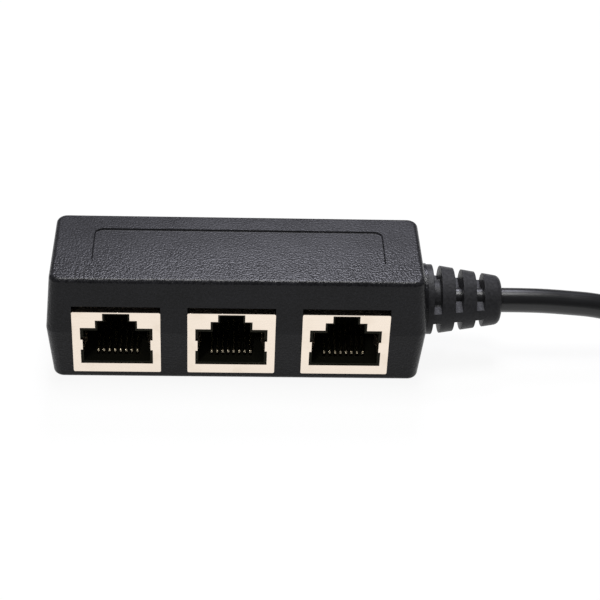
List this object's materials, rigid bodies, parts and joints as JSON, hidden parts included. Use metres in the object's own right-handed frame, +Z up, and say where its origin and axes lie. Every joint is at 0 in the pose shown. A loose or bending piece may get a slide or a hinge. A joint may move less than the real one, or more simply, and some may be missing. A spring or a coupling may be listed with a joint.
{
  "type": "rj45 splitter adapter",
  "caption": "Compact network splitter: a dark moulded body with a row of shielded modular sockets and a short cord with a modular plug.",
  "frame": {"origin": "centre of the housing's underside, which it stands on", "axes": "+X along the row of sockets towards the cord, +Y from the socket faces to the back, +Z up"},
  "size_m": [0.1837, 0.0493, 0.022],
  "materials": {
    "housing_grey": "fine matt moulded texture",
    "relief_grey": "satin moulding",
    "inner_black": "matt",
    "board_green": "solder mask",
    "shield_plate": "warm tin plate",
    "insulator_black": "satin",
    "contact_gold": "gold plate",
    "core_blue": "smooth",
    "core_orange": "smooth",
    "core_green": "smooth",
    "core_brown": "smooth",
    "cord_jacket": "glossy",
    "plug_clear": "clear polycarbonate"
  },
  "bodies": {
    "root": {"housing": "housing_grey", "strain_relief": "relief_grey", "inner_mould": "inner_black", "board": "board_green", "shield_1": "shield_plate", "shield_2": "shield_plate", "shield_3": "shield_plate", "insulator_1": "insulator_black", "insulator_2": "insulator_black", "insulator_3": "insulator_black", "contact_1_1": "contact_gold", "contact_1_2": "contact_gold", "contact_1_3": "contact_gold", "contact_1_4": "contact_gold", "contact_1_5": "contact_gold", "contact_1_6": "contact_gold", "contact_1_7": "contact_gold", "contact_1_8": "contact_gold", "contact_2_1": "contact_gold", "contact_2_2": "contact_gold", "contact_2_3": "contact_gold", "contact_2_4": "contact_gold", "contact_2_5": "contact_gold", "contact_2_6": "contact_gold", "contact_2_7": "contact_gold", "contact_2_8": "contact_gold", "contact_3_1": "contact_gold", "contact_3_2": "contact_gold", "contact_3_3": "contact_gold", "contact_3_4": "contact_gold", "contact_3_5": "contact_gold", "contact_3_6": "contact_gold", "contact_3_7": "contact_gold", "contact_3_8": "contact_gold", "core_pair_1": "core_blue", "core_pair_2": "core_orange", "core_pair_3": "core_green", "core_pair_4": "core_brown", "cord": "cord_jacket", "plug_boot": "relief_grey", "plug_body": "plug_clear", "blade_1": "contact_gold", "blade_2": "contact_gold", "blade_3": "contact_gold", "blade_4": "contact_gold", "blade_5": "contact_gold", "blade_6": "contact_gold", "blade_7": "contact_gold", "blade_8": "contact_gold", "plug_pair_1": "core_blue", "plug_pair_2": "core_orange", "plug_pair_3": "core_green", "plug_pair_4": "core_brown"}
  },
  "joints": []
}
